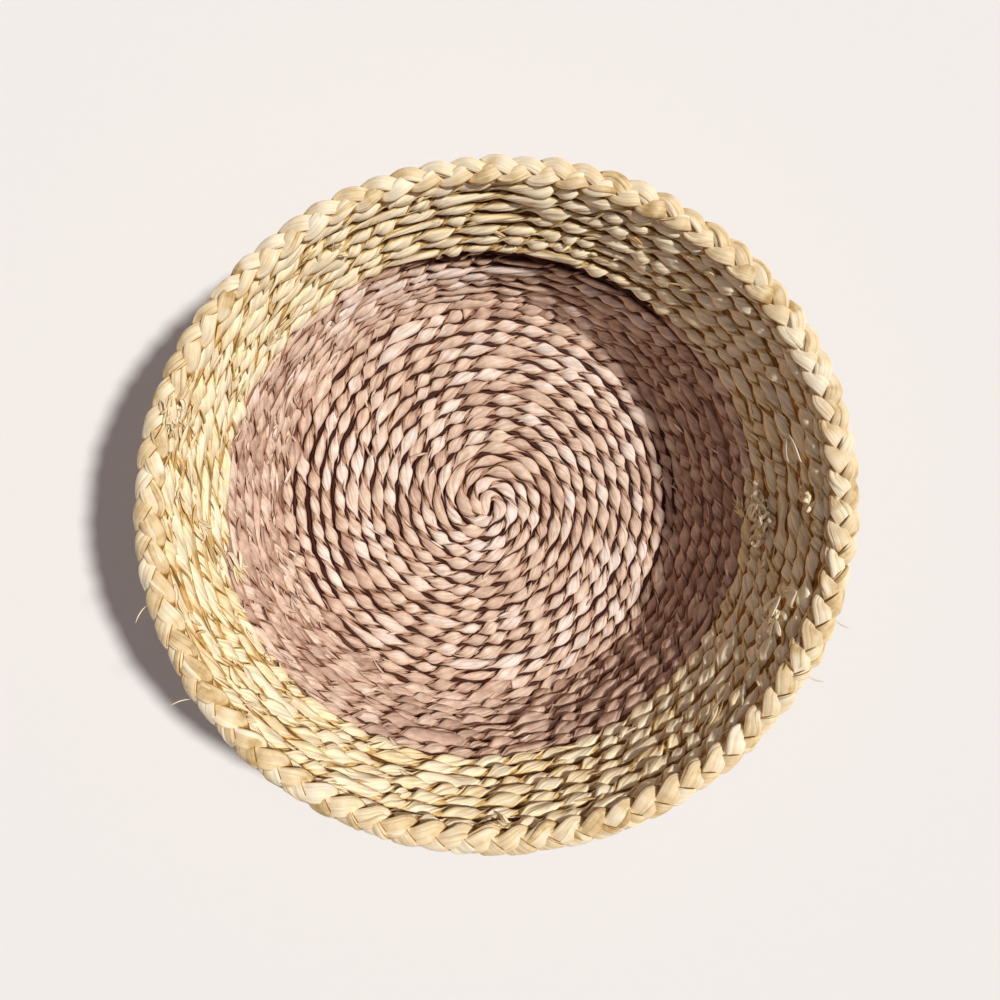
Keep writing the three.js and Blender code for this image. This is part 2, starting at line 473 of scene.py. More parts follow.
class Tubes:
    """Gathers closed tubes, with values for each point, into one mesh object."""

    def __init__(self):
        self.points = []
        self.faces = []
        self.values = {}
        self.count = 0

    def add(self, rings, closed=False, **values):
        """rings is (steps, sides, 3), with sides counterclockwise seen from ahead."""
        steps, sides = rings.shape[:2]
        index = self.count + np.arange(steps * sides).reshape(steps, sides)
        ahead = np.roll(index, -1, 0) if closed else index[1:]
        here = index if closed else index[:-1]
        quads = np.stack([here, np.roll(here, -1, 1), np.roll(ahead, -1, 1), ahead], -1)
        self.faces += quads.reshape(-1, 4).tolist()
        if not closed:
            self.faces.append(index[0, ::-1].tolist())
            self.faces.append(index[-1].tolist())
        self.points.append(rings.reshape(-1, 3))
        self.count += steps * sides
        for name, value in values.items():
            shape = (steps, sides, 3) if name == "grain" else (steps, sides)
            at_points = np.broadcast_to(value, shape).reshape(steps * sides, -1)
            self.values.setdefault(name, []).append(at_points)

    def build(self, name, material):
        mesh = bpy.data.meshes.new(name)
        mesh.from_pydata(np.concatenate(self.points), [], self.faces)
        for key, parts in self.values.items():
            data = np.concatenate(parts).astype(np.float32)
            wide = data.shape[1] == 3
            layer = mesh.attributes.new(key, "FLOAT_VECTOR" if wide else "FLOAT", "POINT")
            layer.data.foreach_set("vector" if wide else "value", data.ravel())
        mesh.shade_smooth()
        mesh.materials.append(material)
        mesh.validate()
        thing = bpy.data.objects.new(name, mesh)
        bpy.context.scene.collection.objects.link(thing)
        return thing


def tube_rings(centre, row, inward, to_row, to_in):
    """Rings round a line, from offsets in the row and inward directions."""
    return (
        centre[:, None, :]
        + to_row[..., None] * row[:, None, :]
        + to_in[..., None] * inward[:, None, :]
    )


def keep_above(rings, clearance):
    """Lifts the points that would pass into the floor."""
    rings[..., 2] = np.maximum(rings[..., 2], clearance)


def blade_grain(angles, along, radius):
    """Texture places that run lengthwise along a blade and round it."""
    shape = (len(along), len(angles))
    return np.stack(
        [
            np.broadcast_to(np.cos(angles) * radius, shape),
            np.broadcast_to(np.sin(angles) * radius, shape),
            np.broadcast_to(along[:, None], shape),
        ],
        -1,
    )


def lead_in(number, start_azimuth):
    """The first stretch of a base cord, from the bend to where it joins its spiral."""
    turns = JOIN_TURNS[number - 1] + np.array([0, JOIN_STEP_TURNS])
    ends, _ = coil_point(LEAD * turns, start_azimuth - math.tau * turns)
    arrive = unit(ends[1, :2] - ends[0, :2])
    leave = unit(np.array(BEND_HEADINGS[number - 1]))
    start = BEND + [BEND_SHIFTS[number - 1], 0]
    reach = BEND_REACH * np.linalg.norm(ends[0, :2] - start)
    s = np.linspace(0, 1, BEND_STEPS, endpoint=False)[:, None]
    flat = (
        (2 * s**3 - 3 * s**2 + 1) * start
        + (s**3 - 2 * s**2 + s) * reach * leave
        + (3 * s**2 - 2 * s**3) * ends[0, :2]
        + (s**3 - s**2) * reach * arrive
    )
    return np.hstack([flat, np.full((len(flat), 1), BASE_ROW_HEIGHT)])


def with_lead_in(number, start_azimuth, points, row, thin, hidden):
    """A spiral's points, directions and values with those of its first stretch put before them."""
    lead = lead_in(number, start_azimuth)
    heading = np.gradient(np.vstack([lead, points[:1]]), axis=0)[:-1]
    left = np.stack([-heading[:, 1], heading[:, 0], 0 * heading[:, 0]], -1)
    return (
        np.vstack([lead, points]),
        np.vstack([unit(left), row]),
        np.concatenate([np.ones(len(lead)), thin]),
        np.concatenate([np.zeros(len(lead)), hidden]),
    )


def spliced(route, at_start, at_end):
    """The route with its thickness tapered at the ends where dyed cord meets natural cord."""
    from_start = route["along"] if at_start else SPLICE_TAPER
    to_end = route["along"][-1] - route["along"] if at_end else SPLICE_TAPER
    share = smoothstep(np.minimum(from_start, to_end) / SPLICE_TAPER)
    return {**route, "thin": route["thin"] * (SPLICE_THICKNESS + (1 - SPLICE_THICKNESS) * share)}


def apart(centre):
    """How far the rows stand apart, which they do at the edge of the base on the left."""
    away = np.abs(np.arctan2(centre[:, 1], centre[:, 0])) - math.pi
    rows_in = (BASE_FLAT_RADIUS - ROW_PITCH - np.hypot(centre[:, 0], centre[:, 1])) / ROW_PITCH
    return np.exp(-((away / APART_SPREAD) ** 2) - (rows_in / APART_ROWS) ** 2)


def resampled(even, along, values):
    """Vectors at places along a line, from those at other places."""
    return np.stack([np.interp(even, along, column) for column in values.T], -1)


def cord_route(from_turns, to_turns, number, rows_out=0.0, step=CORD_STEP):
    """The centre line of one length of cord, evenly stepped, with its directions, thickness and place.

    wall grows from 0 on the base to 1 on the side, and right is the same towards +X alone. level is 1 on
    the base before and behind the axis. hidden is how much a row is sunk under the overhang, which also
    sets the painted shadow on its inner face.
    """
    start_azimuth = COLOUR_CHANGE_AZIMUTH + math.tau * (number - 1) / CORDS
    bent = from_turns == 0 and rows_out == 0
    first = JOIN_TURNS[number - 1] if bent else from_turns
    turns = np.linspace(first, to_turns, int((to_turns - first) * FINE_STEPS_PER_TURN) + 2)
    thin = np.clip(1 - (turns - THINNING_TURNS) * LEAD / ROW_PITCH, 0, 1)
    sunk = ROW_PITCH * (1 - thin) / 2
    lengths = LEAD * turns - sunk + rows_out * ROW_PITCH
    azimuths = start_azimuth - math.tau * turns
    points, row = coil_point(lengths, azimuths)
    _, hidden = overhang(lengths, azimuths)
    if bent:
        points, row, thin, hidden = with_lead_in(number, start_azimuth, points, row, thin, hidden)
    along = np.concatenate([[0], np.cumsum(np.linalg.norm(np.diff(points, axis=0), axis=1))])
    even = np.linspace(0, along[-1], int(along[-1] / step))
    centre = resampled(even, along, points)
    ahead = unit(np.gradient(centre, axis=0))
    row = across(resampled(even, along, row), ahead)
    azimuth = np.arctan2(centre[:, 1], centre[:, 0])
    wall = np.arcsin(np.clip(row[:, 2], 0, 1)) / SIDE_RISE
    return {
        "along": even,
        "thin": np.minimum(1, np.interp(even, along, thin) + TIP_THICKNESS),
        "centre": centre,
        "ahead": ahead,
        "row": row,
        "in": np.cross(ahead, row),
        "azimuth": azimuth,
        "wall": wall,
        "right": wall * np.maximum(np.cos(azimuth), 0),
        "level": np.clip(1 - row[:, 2], 0, 1) * np.sin(azimuth) ** 2,
        "apart": apart(centre),
        "hidden": np.interp(even, along, hidden),
    }


def folds(rng, along, angles, depth):
    """How much a folded leaf's surface stands out at each step and angle, from a few lengthwise ridges.

    depth is a column, for it grows up the side, where the leaves are more crumpled.
    """
    total = np.zeros((len(along), len(angles)))
    for waves, share in FOLDS:
        turning = rng.uniform(0, math.tau) + along * rng.uniform(-FOLD_TURN, FOLD_TURN)
        drift = turning + wander(rng, along, *FOLD_WANDER)
        total += share * depth * np.cos(waves * angles[None, :] + drift[:, None])
    return total


def each_leaf(rng, phase, low, high):
    """A random value for each stretch of a ply that shows inside the basket, changing on the outside."""
    at = phase / math.tau + 0.25
    number = np.floor(at).astype(int)
    picked = rng.uniform(low, high, number.max() - number.min() + 2)
    here, following = picked[number - number.min()], picked[number - number.min() + 1]
    return here + (following - here) * smoothstep((at - number - (1 - LEAF_CHANGE)) / LEAF_CHANGE)


def held(offset):
    """Offsets towards the neighbouring rows, pressed flat where they would pass into them."""
    return offset / (1 + np.abs(offset / CORD_LIMIT) ** LIMIT_SHARPNESS) ** (1 / LIMIT_SHARPNESS)


def wear(centre):
    """How worn each place of a line is, from the least wear up to one."""
    away = angle_between(np.arctan2(centre[:, 1], centre[:, 0]), WORN_AZIMUTH)
    return LEAST_WEAR + (1 - LEAST_WEAR) * np.exp(-((away / WORN_SPREAD) ** 2))


def ply_section(route, faced, angles, rng, bulk):
    """Offsets of a ply's surface towards the next row and towards the inside of the basket."""
    along, wall = route["along"], route["wall"]
    phase = faced - FACE_LEAN * wall
    cos, sin = np.cos(phase)[:, None], np.sin(phase)[:, None]
    size = bulk * (1 + wander(rng, along, *PLY_SIZE_WANDER)) * each_leaf(rng, faced, *LEAF_SIZES)
    beside = np.cos(faced) ** 2 * (1 + SIDE_SQUEEZE * wall + PLUMP_SQUEEZE * route["plump"])
    broad = 1 + LEVEL_BREADTH * route["level"] + wander(rng, along, *PLY_BREADTH_WANDER)
    width = size * broad * (1 - SQUEEZE_WIDTH * beside)
    thick = size * (1 - SQUEEZE_THICKNESS * beside)
    reach = np.where(np.cos(angles) > 0, PLY_OUTER, PLY_INNER) * thick[:, None]
    swell = 1 + folds(rng, along, angles, FOLD_DEPTH + SIDE_FOLD_DEPTH * wall[:, None])
    radial = PLY_OFFSET + reach * np.cos(angles) * swell
    sideways = PLY_HALF_WIDTH * width[:, None] * np.sin(angles) * swell
    shift = each_leaf(rng, faced, *LEAF_SHIFTS)[:, None]
    thin = route["thin"][:, None]
    to_row = held(radial * cos - sideways * sin + shift) * thin
    to_in = (radial * sin + sideways * cos) * thin
    return to_row * (1 - APART_THINNING * route["apart"][:, None]), to_in


def ply_crest(route, angles, to_row, to_in):
    """How far each place of a ply is out of the painted shade of the grooves, from 0 to 1."""
    columns = (route[key][:, None] for key in ("wall", "right", "far", "plump", "level", "apart"))
    wall, right, far, plump, level, stands_apart = columns
    groove_from = GROOVE_FROM * (1 + BASE_GROOVE_FARTHER * (1 - wall))
    from_groove = np.clip(1 - np.abs(to_row) / groove_from, 0, 1) + np.abs(to_in) / (ROW_PITCH / 2)
    steep = (
        STEEPNESS
        + LEVEL_STEEPNESS * level
        + wall * (SIDE_STEEPNESS + PLUMP_STEEPNESS * plump)
        + FAR_STEEPNESS * far
        + RIGHT_STEEPNESS * right
        + APART_STEEPNESS * stands_apart
    )
    # Painted shadow on the inner face of the row that is sunk under the overhang
    inner_face = np.clip(SUNK_FACE_FROM + to_in / (ROW_PITCH / 4), 0, 1)
    hidden = np.minimum(SUNK_SHADE * route["hidden"], 1)[:, None] * inner_face
    steep = steep * (1 - SUNK_DARKEST * hidden)
    open_face = OPEN_FACE + SIDE_OPEN_FACE * wall + RIGHT_OPEN_FACE * right
    open_round = np.clip(open_face + OPEN_FACE_ROUND * np.cos(angles), 0, 1)
    return np.clip(steep * from_groove - FAR_PAINTED_SHADE * far, 0, 1) * open_round


def painted_light_tone(route):
    """Painted light and shade in a cord's tone: paler where light falls, darker on the right in shade."""
    wall, right, far, plump = (route[key][:, None] for key in ("wall", "right", "far", "plump"))
    if route["natural"]:
        return PLUMP_LIT * wall * plump + FAR_LIT * far
    return FAR_LIT * far - RIGHT_PAINTED_SHADE * right


def add_ply(tubes, route, faced, rng, bulk):
    """One ply of a twisted cord, whose visible stretches look like folded leaves.

    faced is its angle round the cord, where a quarter turn faces the inside of the basket.
    """
    angles = circle(PLY_SIDES)
    to_row, to_in = ply_section(route, faced, angles, rng, bulk)
    rings = tube_rings(route["centre"], route["row"], route["in"], to_row, to_in)
    keep_above(rings, PLY_CLEARANCE)
    # Where worn the leaf is paler and its grooves get less painted shade; the tone also holds painted
    # light
    bleached = (route["bleached"] * route["wall"] * wear(route["centre"]))[:, None]
    tubes.add(
        rings,
        tone=each_leaf(rng, faced, *LEAF_TONES)[:, None] + route["tone"] + bleached + painted_light_tone(route),
        crest=np.maximum(ply_crest(route, angles, to_row, to_in), bleached),
        grain=blade_grain(angles, route["along"] + rng.uniform(0, 50), GRAIN_RADIUS),
    )


def add_round(tubes, route, radius, depth, tone, crest):
    """A round thread along a route, sunk by a depth below it."""
    angles = circle(TWINE_SIDES)
    around = (radius * np.minimum(1, route["thin"]))[:, None]
    to_in = around * np.sin(angles) - np.reshape(depth, (-1, 1))
    rings = tube_rings(route["centre"], route["row"], route["in"], around * np.cos(angles), to_in)
    keep_above(rings, THREAD_CLEARANCE)
    grain = blade_grain(angles, route["along"], GRAIN_RADIUS)
    tubes.add(rings, tone=tone, crest=crest, grain=grain)


def add_cord(tubes, route, rng):
    """Two plies twisted like the middle stroke of an S, one often thicker than the other, on a core."""
    along, wall, right = route["along"], route["wall"], route["right"]
    wobble = route["row"] * wander(rng, along, *ROW_WANDER)[:, None]
    wobble = wobble + route["in"] * wander(rng, along, *INWARD_WANDER)[:, None]
    turned = sum(wander(rng, along, *scale) for scale in TWIST_WANDERS) * (1 + SIDE_TWIST_WANDER * wall)
    lay = LAY * (1 + SIDE_LAY * wall - RIGHT_LAY * right)
    turned = turned - math.tau * np.cumsum(along[1] / lay)
    up_picture = np.sin(route["azimuth"])
    plump = BASE_PLUMP + wall * (up_picture**2 - BASE_PLUMP) + RIGHT_PLUMP * right**2
    route = {
        **route,
        "centre": route["centre"] + wobble,
        "plump": plump,
        "far": wall * plump * np.maximum(up_picture, 0),
        "tone": route["tone"] + wander(rng, along, *TONE_WANDER)[:, None],
    }
    unlike = UNLIKE_PLIES + wander(rng, along, *UNLIKE_WANDER)
    dwell = DWELL + PLUMP_DWELL * plump
    for ply, side in enumerate((1, -1)):
        twist = turned + math.pi * ply
        add_ply(tubes, route, twist + dwell * np.sin(2 * twist), rng, 1 + side * unlike)
    # The core's darker tone and its crest paint the shade deep between the plies
    add_round(tubes, route, CORE_RADIUS, 0, CORE_TONE, CORE_CREST)


def add_twine(tubes, from_turns, to_turns, number):
    """The thin twine that sews a row to the next, half a row out from the cord that it follows."""
    route = cord_route(from_turns, to_turns, number, 0.5, TWINE_STEP)
    worn, right = route["wall"] * wear(route["centre"]), route["right"]
    radius = TWINE_RADIUS * (1 + WORN_TWINE_RADIUS * worn + RIGHT_TWINE_RADIUS * right)
    depth = TWINE_DEPTH * (1 - worn + RIGHT_TWINE_DEPTH * right)
    # The twine's colour is painted groove shade, lifted by its crest on the worn side, level base and
    # right
    crest = WORN_TWINE_CREST * worn + LEVEL_TWINE_CREST * route["level"] + RIGHT_TWINE_CREST * right
    add_round(tubes, route, radius, depth, 0.0, crest[:, None])


def add_ribbon(tubes, centre, face, half, flatness, lengthwise, tone, crest):
    """A ribbon of leaf along a line.

    face is where its face looks, half its half width, and crest its crest at the edge and what the face
    has more, from which the painted shade at its edges comes.
    """
    heading = unit(np.gradient(centre, axis=0))
    up = across(face, heading)
    angles = circle(RIBBON_SIDES)
    wide, high = half * np.cos(angles), flatness * half * np.sin(angles)
    rings = tube_rings(centre, np.cross(up, heading), up, wide, high)
    keep_above(rings, THREAD_CLEARANCE)
    light = crest[0] + crest[1] * np.abs(np.sin(angles))
    tubes.add(rings, tone=tone, crest=light, grain=blade_grain(angles, lengthwise, 0.002))


def add_sliver(tubes, root, ahead, normal, length, width, lift, bend, tone):
    """A loose sliver of leaf: a thin tapered blade that leaves the surface towards its tip."""
    share = np.linspace(0, 1, SLIVER_STEPS)[:, None]
    side = np.cross(normal, ahead)
    centre = root + length * (share * ahead + bend * share**2 * side) + lift * share**SLIVER_LIFT * normal
    half = width / 2 * np.sin(math.pi * np.clip(share, SLIVER_TIP, 1 - SLIVER_TIP)) ** SLIVER_TAPER
    lengthwise = share[:, 0] * length + 9 * tone
    add_ribbon(tubes, centre, normal, half, RIBBON_FLATNESS, lengthwise, tone, SLIVER_CREST)


def add_slivers(tubes, route, rng, count):
    """Torn edges and loose fibres that lie on a cord's inner face, mostly on the worn side."""
    worn = wear(route["centre"])
    for at in rng.integers(5, len(route["along"]) - 5, count):
        if rng.uniform() > worn[at]:
            continue
        ahead, row, inward = route["ahead"][at], route["row"][at], route["in"][at]
        turn = rng.normal(*SLIVER_TURN)
        heading = ahead * math.cos(turn) + row * math.sin(turn)
        side = rng.uniform(-SLIVER_SIDE, SLIVER_SIDE)
        high = math.sqrt(ROOT_RADIUS_SQUARED - side**2)
        root = route["centre"][at] + ROW_PITCH * (side * row + high * inward)
        add_sliver(
            tubes,
            root,
            heading * rng.choice([-1, 1]),
            unit(inward + 2 * side * row),
            rng.uniform(*SLIVER_LENGTHS),
            rng.uniform(SLIVER_WIDTHS[0], SLIVER_WIDTHS[1] + SIDE_SLIVER_WIDTH * route["wall"][at]),
            rng.uniform(*SLIVER_LIFTS),
            rng.normal(0, SLIVER_BEND),
            rng.uniform(0, 1) + 0.5 * route["tone"],
        )


def node(tree, kind, settings, *values, **named):
    """Adds a shader node; a value given as a socket is linked, and any other value is set."""
    made = tree.nodes.new(kind)
    for key, value in settings.items():
        setattr(made, key, value)
    sockets = [(made.inputs[k], value) for k, value in enumerate(values)]
    sockets += [(made.inputs[key.replace("_", " ")], value) for key, value in named.items()]
    for socket, value in sockets:
        if isinstance(value, bpy.types.NodeSocket):
            tree.links.new(value, socket)
        else:
            socket.default_value = value
    return made.outputs["Result"] if "Result" in made.outputs else made.outputs[0]


def maths(tree, operation, *values):
    return node(tree, "ShaderNodeMath", {"operation": operation}, *values)


def mapped(tree, value, low, high, to_low, to_high):
    """A value brought smoothly from one range to another."""
    return node(
        tree,
        "ShaderNodeMapRange",
        {"interpolation_type": "SMOOTHSTEP"},
        Value=value,
        From_Min=low,
        From_Max=high,
        To_Min=to_low,
        To_Max=to_high,
    )


def noise(tree, place_at, scale, detail, stretch):
    """Noise that is drawn out along the leaf when stretch is below one."""
    stretched = node(tree, "ShaderNodeVectorMath", {"operation": "MULTIPLY"}, place_at, (1, 1, stretch))
    return node(tree, "ShaderNodeTexNoise", {}, Vector=stretched, Scale=scale, Detail=detail)


def attribute(tree, name, output):
    made = tree.nodes.new("ShaderNodeAttribute")
    made.attribute_name = name
    return made.outputs[output]


def ramp(tree, fac, colours):
    """A colour from a value, through colours at the tone stops."""
    made = tree.nodes.new("ShaderNodeValToRGB")
    while len(made.color_ramp.elements) < len(TONE_STOPS):
        made.color_ramp.elements.new(0.5)
    for element, position, colour in zip(made.color_ramp.elements, TONE_STOPS, colours):
        element.position = position
        element.color = (*colour, 1)
    tree.links.new(fac, made.inputs["Fac"])
    return made.outputs["Color"]


def fibre_material(name, tones, painted_crevice_shade, roughness, contrast, shade_richness):
    """Dry leaf: a tone for each leaf, blotches, fine lengthwise streaks and creases, painted crevice
    shade.
    """
    material = bpy.data.materials.new(name)
    material.use_nodes = True
    tree = material.node_tree
    shader = tree.nodes["Principled BSDF"]
    grain = attribute(tree, "grain", "Vector")
    streaks = noise(tree, grain, *STREAKS)
    ridge = maths(tree, "ABSOLUTE", maths(tree, "SUBTRACT", noise(tree, grain, *CREASES), 0.5))
    blotches = noise(tree, tree.nodes.new("ShaderNodeTexCoord").outputs["Object"], *BLOTCHES)

    leaf = maths(tree, "MULTIPLY_ADD", attribute(tree, "tone", "Fac"), LEAF_SHARE, LEAF_FROM)
    colour = ramp(tree, maths(tree, "MULTIPLY_ADD", blotches, BLOTCH_SHARE, leaf), tones)
    creased = mapped(tree, ridge, 0.0, CREASE_DARK_WITHIN, 1 - CREASE_DARKENING * contrast, 1.0)
    light = mapped(tree, streaks, *STREAK_RANGE, 1 - contrast, 1 + contrast)
    light = maths(tree, "MULTIPLY", light, creased)
    colour = node(tree, "ShaderNodeVectorMath", {"operation": "SCALE"}, colour, Scale=light)

    # Painted shade: where the crest is low the colour deepens and mixes towards the crevice shade
    crest = attribute(tree, "crest", "Fac")
    open_share = mapped(tree, crest, 0.0, OPEN_CREST, 0.0, 1.0)
    deepening = mapped(tree, crest, *DEEP_CRESTS, shade_richness, 1.0)
    colour = node(tree, "ShaderNodeGamma", {}, Color=colour, Gamma=deepening)
    mix = tree.nodes.new("ShaderNodeMix")
    mix.data_type = "RGBA"
    tree.links.new(open_share, mix.inputs["Factor"])
    mix.inputs["A"].default_value = (*painted_crevice_shade, 1)
    tree.links.new(colour, mix.inputs["B"])
    tree.links.new(mix.outputs["Result"], shader.inputs["Base Color"])
    shader.inputs["Specular IOR Level"].default_value = SPECULAR_LEVEL
    rough = mapped(tree, streaks, 0, 1, *(roughness + spread for spread in ROUGHNESS_SPREAD))
    tree.links.new(rough, shader.inputs["Roughness"])

    raised = mapped(tree, ridge, 0.0, CREASE_SUNK_WITHIN, 0.0, 1.0)
    height = maths(tree, "MULTIPLY_ADD", streaks, STREAK_RELIEF, raised)
    strength = BUMP_STRENGTH + CONTRAST_BUMP * contrast
    bump = node(tree, "ShaderNodeBump", {}, Strength=strength, Distance=BUMP_DISTANCE, Height=height)
    tree.links.new(bump, shader.inputs["Normal"])
    return material


def mauve_leaf():
    tones = ((0.44, 0.27, 0.20), (0.63, 0.43, 0.325), (0.79, 0.59, 0.455), (0.93, 0.79, 0.70))
    painted_crevice_shade = (0.045, 0.007, 0.002)
    return fibre_material("mauve_leaf", tones, painted_crevice_shade, roughness=0.6, contrast=0.13, shade_richness=1.9)


def straw_leaf():
    tones = ((0.60, 0.37, 0.12), (0.84, 0.64, 0.34), (0.95, 0.80, 0.52), (0.97, 0.85, 0.61))
    painted_crevice_shade = (0.09, 0.032, 0.005)
    return fibre_material("straw_leaf", tones, painted_crevice_shade, roughness=0.5, contrast=0.13, shade_richness=2.4)


def plait_leaf():
    tones = ((0.52, 0.34, 0.13), (0.80, 0.61, 0.34), (0.90, 0.74, 0.48), (0.96, 0.86, 0.65))
    painted_crevice_shade = (0.2, 0.09, 0.012)
    return fibre_material("plait_leaf", tones, painted_crevice_shade, roughness=0.48, contrast=0.075, shade_richness=2.2)


def round_the_rim(terms, azimuth):
    """A value that varies round the rim: its mean, and its rise towards +X and towards +Y."""
    return terms[0] + terms[1] * np.cos(azimuth) + terms[2] * np.sin(azimuth)


def ahead_on_loop(centre):
    """The direction ahead at each point of a closed line."""
    return unit(np.roll(centre, -1, 0) - np.roll(centre, 1, 0))


def strand_line(azimuth, phase, broad):
    """A strand's centre line, with the directions across its leaf and off its face."""
    rim_radius, rim_height, _ = profile(np.array(RIM_LENGTH))
    swing = broad * PLAIT_SWING * np.arcsin(PLAIT_SHARPNESS * np.sin(phase)) / math.asin(PLAIT_SHARPNESS)
    around = np.cos(azimuth - PLAIT_TILT_AZIMUTH)
    tilt = PLAIT_TILT + PLAIT_TILT_MORE * around
    curl = PLAIT_CURL * (1 - around) * np.where(swing > 0, OUTER_CURL, INNER_CURL)
    weave = PLAIT_WEAVE * np.sin(2 * phase) - curl * (swing / PLAIT_SWING) ** 2
    middle = rim_radius + round_the_rim(PLAIT_OUTWARD, azimuth)
    radius = middle + swing * np.cos(tilt) - weave * np.sin(tilt)
    height = rim_height + PLAIT_HEIGHT_OVER_RIM + swing * np.sin(tilt) + weave * np.cos(tilt)
    centre = place(radius, azimuth, height, MOUTH_OVALITY)
    ahead = ahead_on_loop(centre)
    lean = tilt - np.arctan(2 * curl * swing / PLAIT_SWING**2)
    inwards = -np.sin(lean)
    up = across(np.stack([inwards * np.cos(azimuth), inwards * np.sin(azimuth), np.cos(lean)], -1), ahead)
    return centre, np.cross(up, ahead), up


def add_strand(tubes, strand, rng):
    """One strand of the plait: flat blades side by side, going over and under the other strands."""
    share = np.arange(STRAND_STEPS) / STRAND_STEPS
    azimuth = -math.tau * share
    phase = azimuth * PLAIT_PERIODS + math.tau * strand / STRANDS
    broad = round_the_rim(PLAIT_BREADTH, azimuth)
    centre, side, up = strand_line(azimuth, phase, broad)
    along = share * math.tau * float(profile(np.array(RIM_LENGTH))[0])
    lobes = 2 * PLAIT_PERIODS
    lobe = np.floor(lobes * share + 0.001).astype(int)
    fat = broad * STRAND_HALF_WIDTH * (1 - STRAND_PINCH + STRAND_PINCH * np.sin(2 * phase))
    turned = math.tau * share
    angles = circle(BLADE_SIDES)
    few, many = BLADE_RIDGES
    for wide, stray, raised in BLADES:
        shift = stray * np.sin(turned * rng.integers(*BLADE_STRAY_WAVES) + rng.uniform(0, 6))
        waves = np.sin(turned * rng.integers(*BLADE_RISE_WAVES) + rng.uniform(0, 6))
        rise = raised + BLADE_RISE * waves
        middle = centre + (shift * fat)[:, None] * side + rise[:, None] * up
        half = wide * fat * (1 + BLADE_WIDTH_VARIES * rng.normal(size=lobes)[lobe])
        drift = rng.uniform(-BLADE_RIDGE_DRIFT, BLADE_RIDGE_DRIFT, lobes)[lobe][:, None]
        ridges = np.cos(few * angles[None, :] + drift) + np.cos(many * angles[None, :] - 2 * drift)
        thick = BLADE_HALF_THICKNESS * wide**0.5 * (1 + BLADE_RIDGE_DEPTH * ridges)
        rings = tube_rings(middle, side, up, half[:, None] * np.cos(angles), thick * np.sin(angles))
        # Painted shade on a blade's edges and where the strand goes under another
        on_top = np.sin(2 * phase)[:, None] * np.sign(np.sin(angles))
        out = np.clip(UNDER_STEEPNESS + UNDER_STEEPNESS * on_top, UNDER_CREST, 1)
        crest = out * np.clip(BLADE_STEEPNESS * np.abs(np.sin(angles)) + BLADE_EDGE_CREST, 0, 1)
        tone = rng.uniform(0, 1, lobes)[lobe]
        grain = blade_grain(angles, along + 7.0 * strand + 2.1 * wide, 0.0045 * wide)
        tubes.add(rings, closed=True, tone=tone[:, None], crest=crest, grain=grain)


def add_lacing(tubes):
    """The twine that binds the plait to the top row, hidden under the plait."""
    azimuth = -math.tau * np.arange(LACING_STEPS) / LACING_STEPS
    rim_radius, rim_height, _ = profile(np.array(RIM_LENGTH))
    radius = rim_radius + LACING_OUTWARD * round_the_rim(PLAIT_OUTWARD, azimuth)
    centre = place(radius, azimuth, rim_height + LACING_HEIGHT + 0 * azimuth, MOUTH_OVALITY)
    up = np.tile([0.0, 0.0, 1.0], (len(centre), 1))
    side = np.cross(up, ahead_on_loop(centre))
    angles = circle(LACING_SIDES)
    ply = np.cos(2 * angles[None, :] + LACING_TWISTS * azimuth[:, None])
    wide, high = LACING_RADII
    full = 1 + LACING_PLY * ply
    rings = tube_rings(centre, side, up, wide * full * np.cos(angles), high * full * np.sin(angles))
    grain = blade_grain(angles, -azimuth * float(rim_radius), GRAIN_RADIUS)
    # The crest paints shade into the grooves between the lacing's plies
    tubes.add(rings, closed=True, tone=0.3, crest=0.62 + 0.3 * ply, grain=grain)


def wall_length(rows_high):
    """The profile length at a height on the side, given in row pitches above the floor."""
    _, foot, _ = profile(BASE_FLAT_RADIUS + CORNER_ARC_LENGTH + 1e-9)
    return BASE_FLAT_RADIUS + CORNER_ARC_LENGTH + (rows_high * ROW_PITCH - foot) / math.sin(SIDE_RISE)


def inner_surface(clock, rows_high):
    """A point on the side's inner face, with the directions ahead, to the next row and off the face."""
    azimuth = -math.radians(clock)
    centre, row = coil_point(np.array(float(wall_length(rows_high))), np.array(azimuth))
    ahead = np.array([math.sin(azimuth), -math.cos(azimuth), 0.0])
    off = np.cross(ahead, row)
    return centre + SURFACE * off, ahead, row, off


def add_tuft(tubes, rng, clock, rows_high, turn, count, reach, lift):
    """Torn leaf ends that fan out from one place; turn is from straight ahead towards the next row."""
    root, ahead, row, off = inner_surface(clock, rows_high)
    for _ in range(count):
        angle = math.radians(turn) + rng.normal(0, TUFT_FAN)
        start = root + rng.normal(0, TUFT_SCATTER) * ahead + rng.normal(0, TUFT_SCATTER) * row
        add_sliver(
            tubes,
            start,
            ahead * math.cos(angle) + row * math.sin(angle),
            off,
            reach * rng.uniform(*TUFT_REACHES),
            rng.uniform(*TUFT_WIDTHS),
            lift * rng.uniform(*TUFT_LIFTS),
            rng.normal(0, TUFT_BEND),
            rng.uniform(*TUFT_TONES),
        )


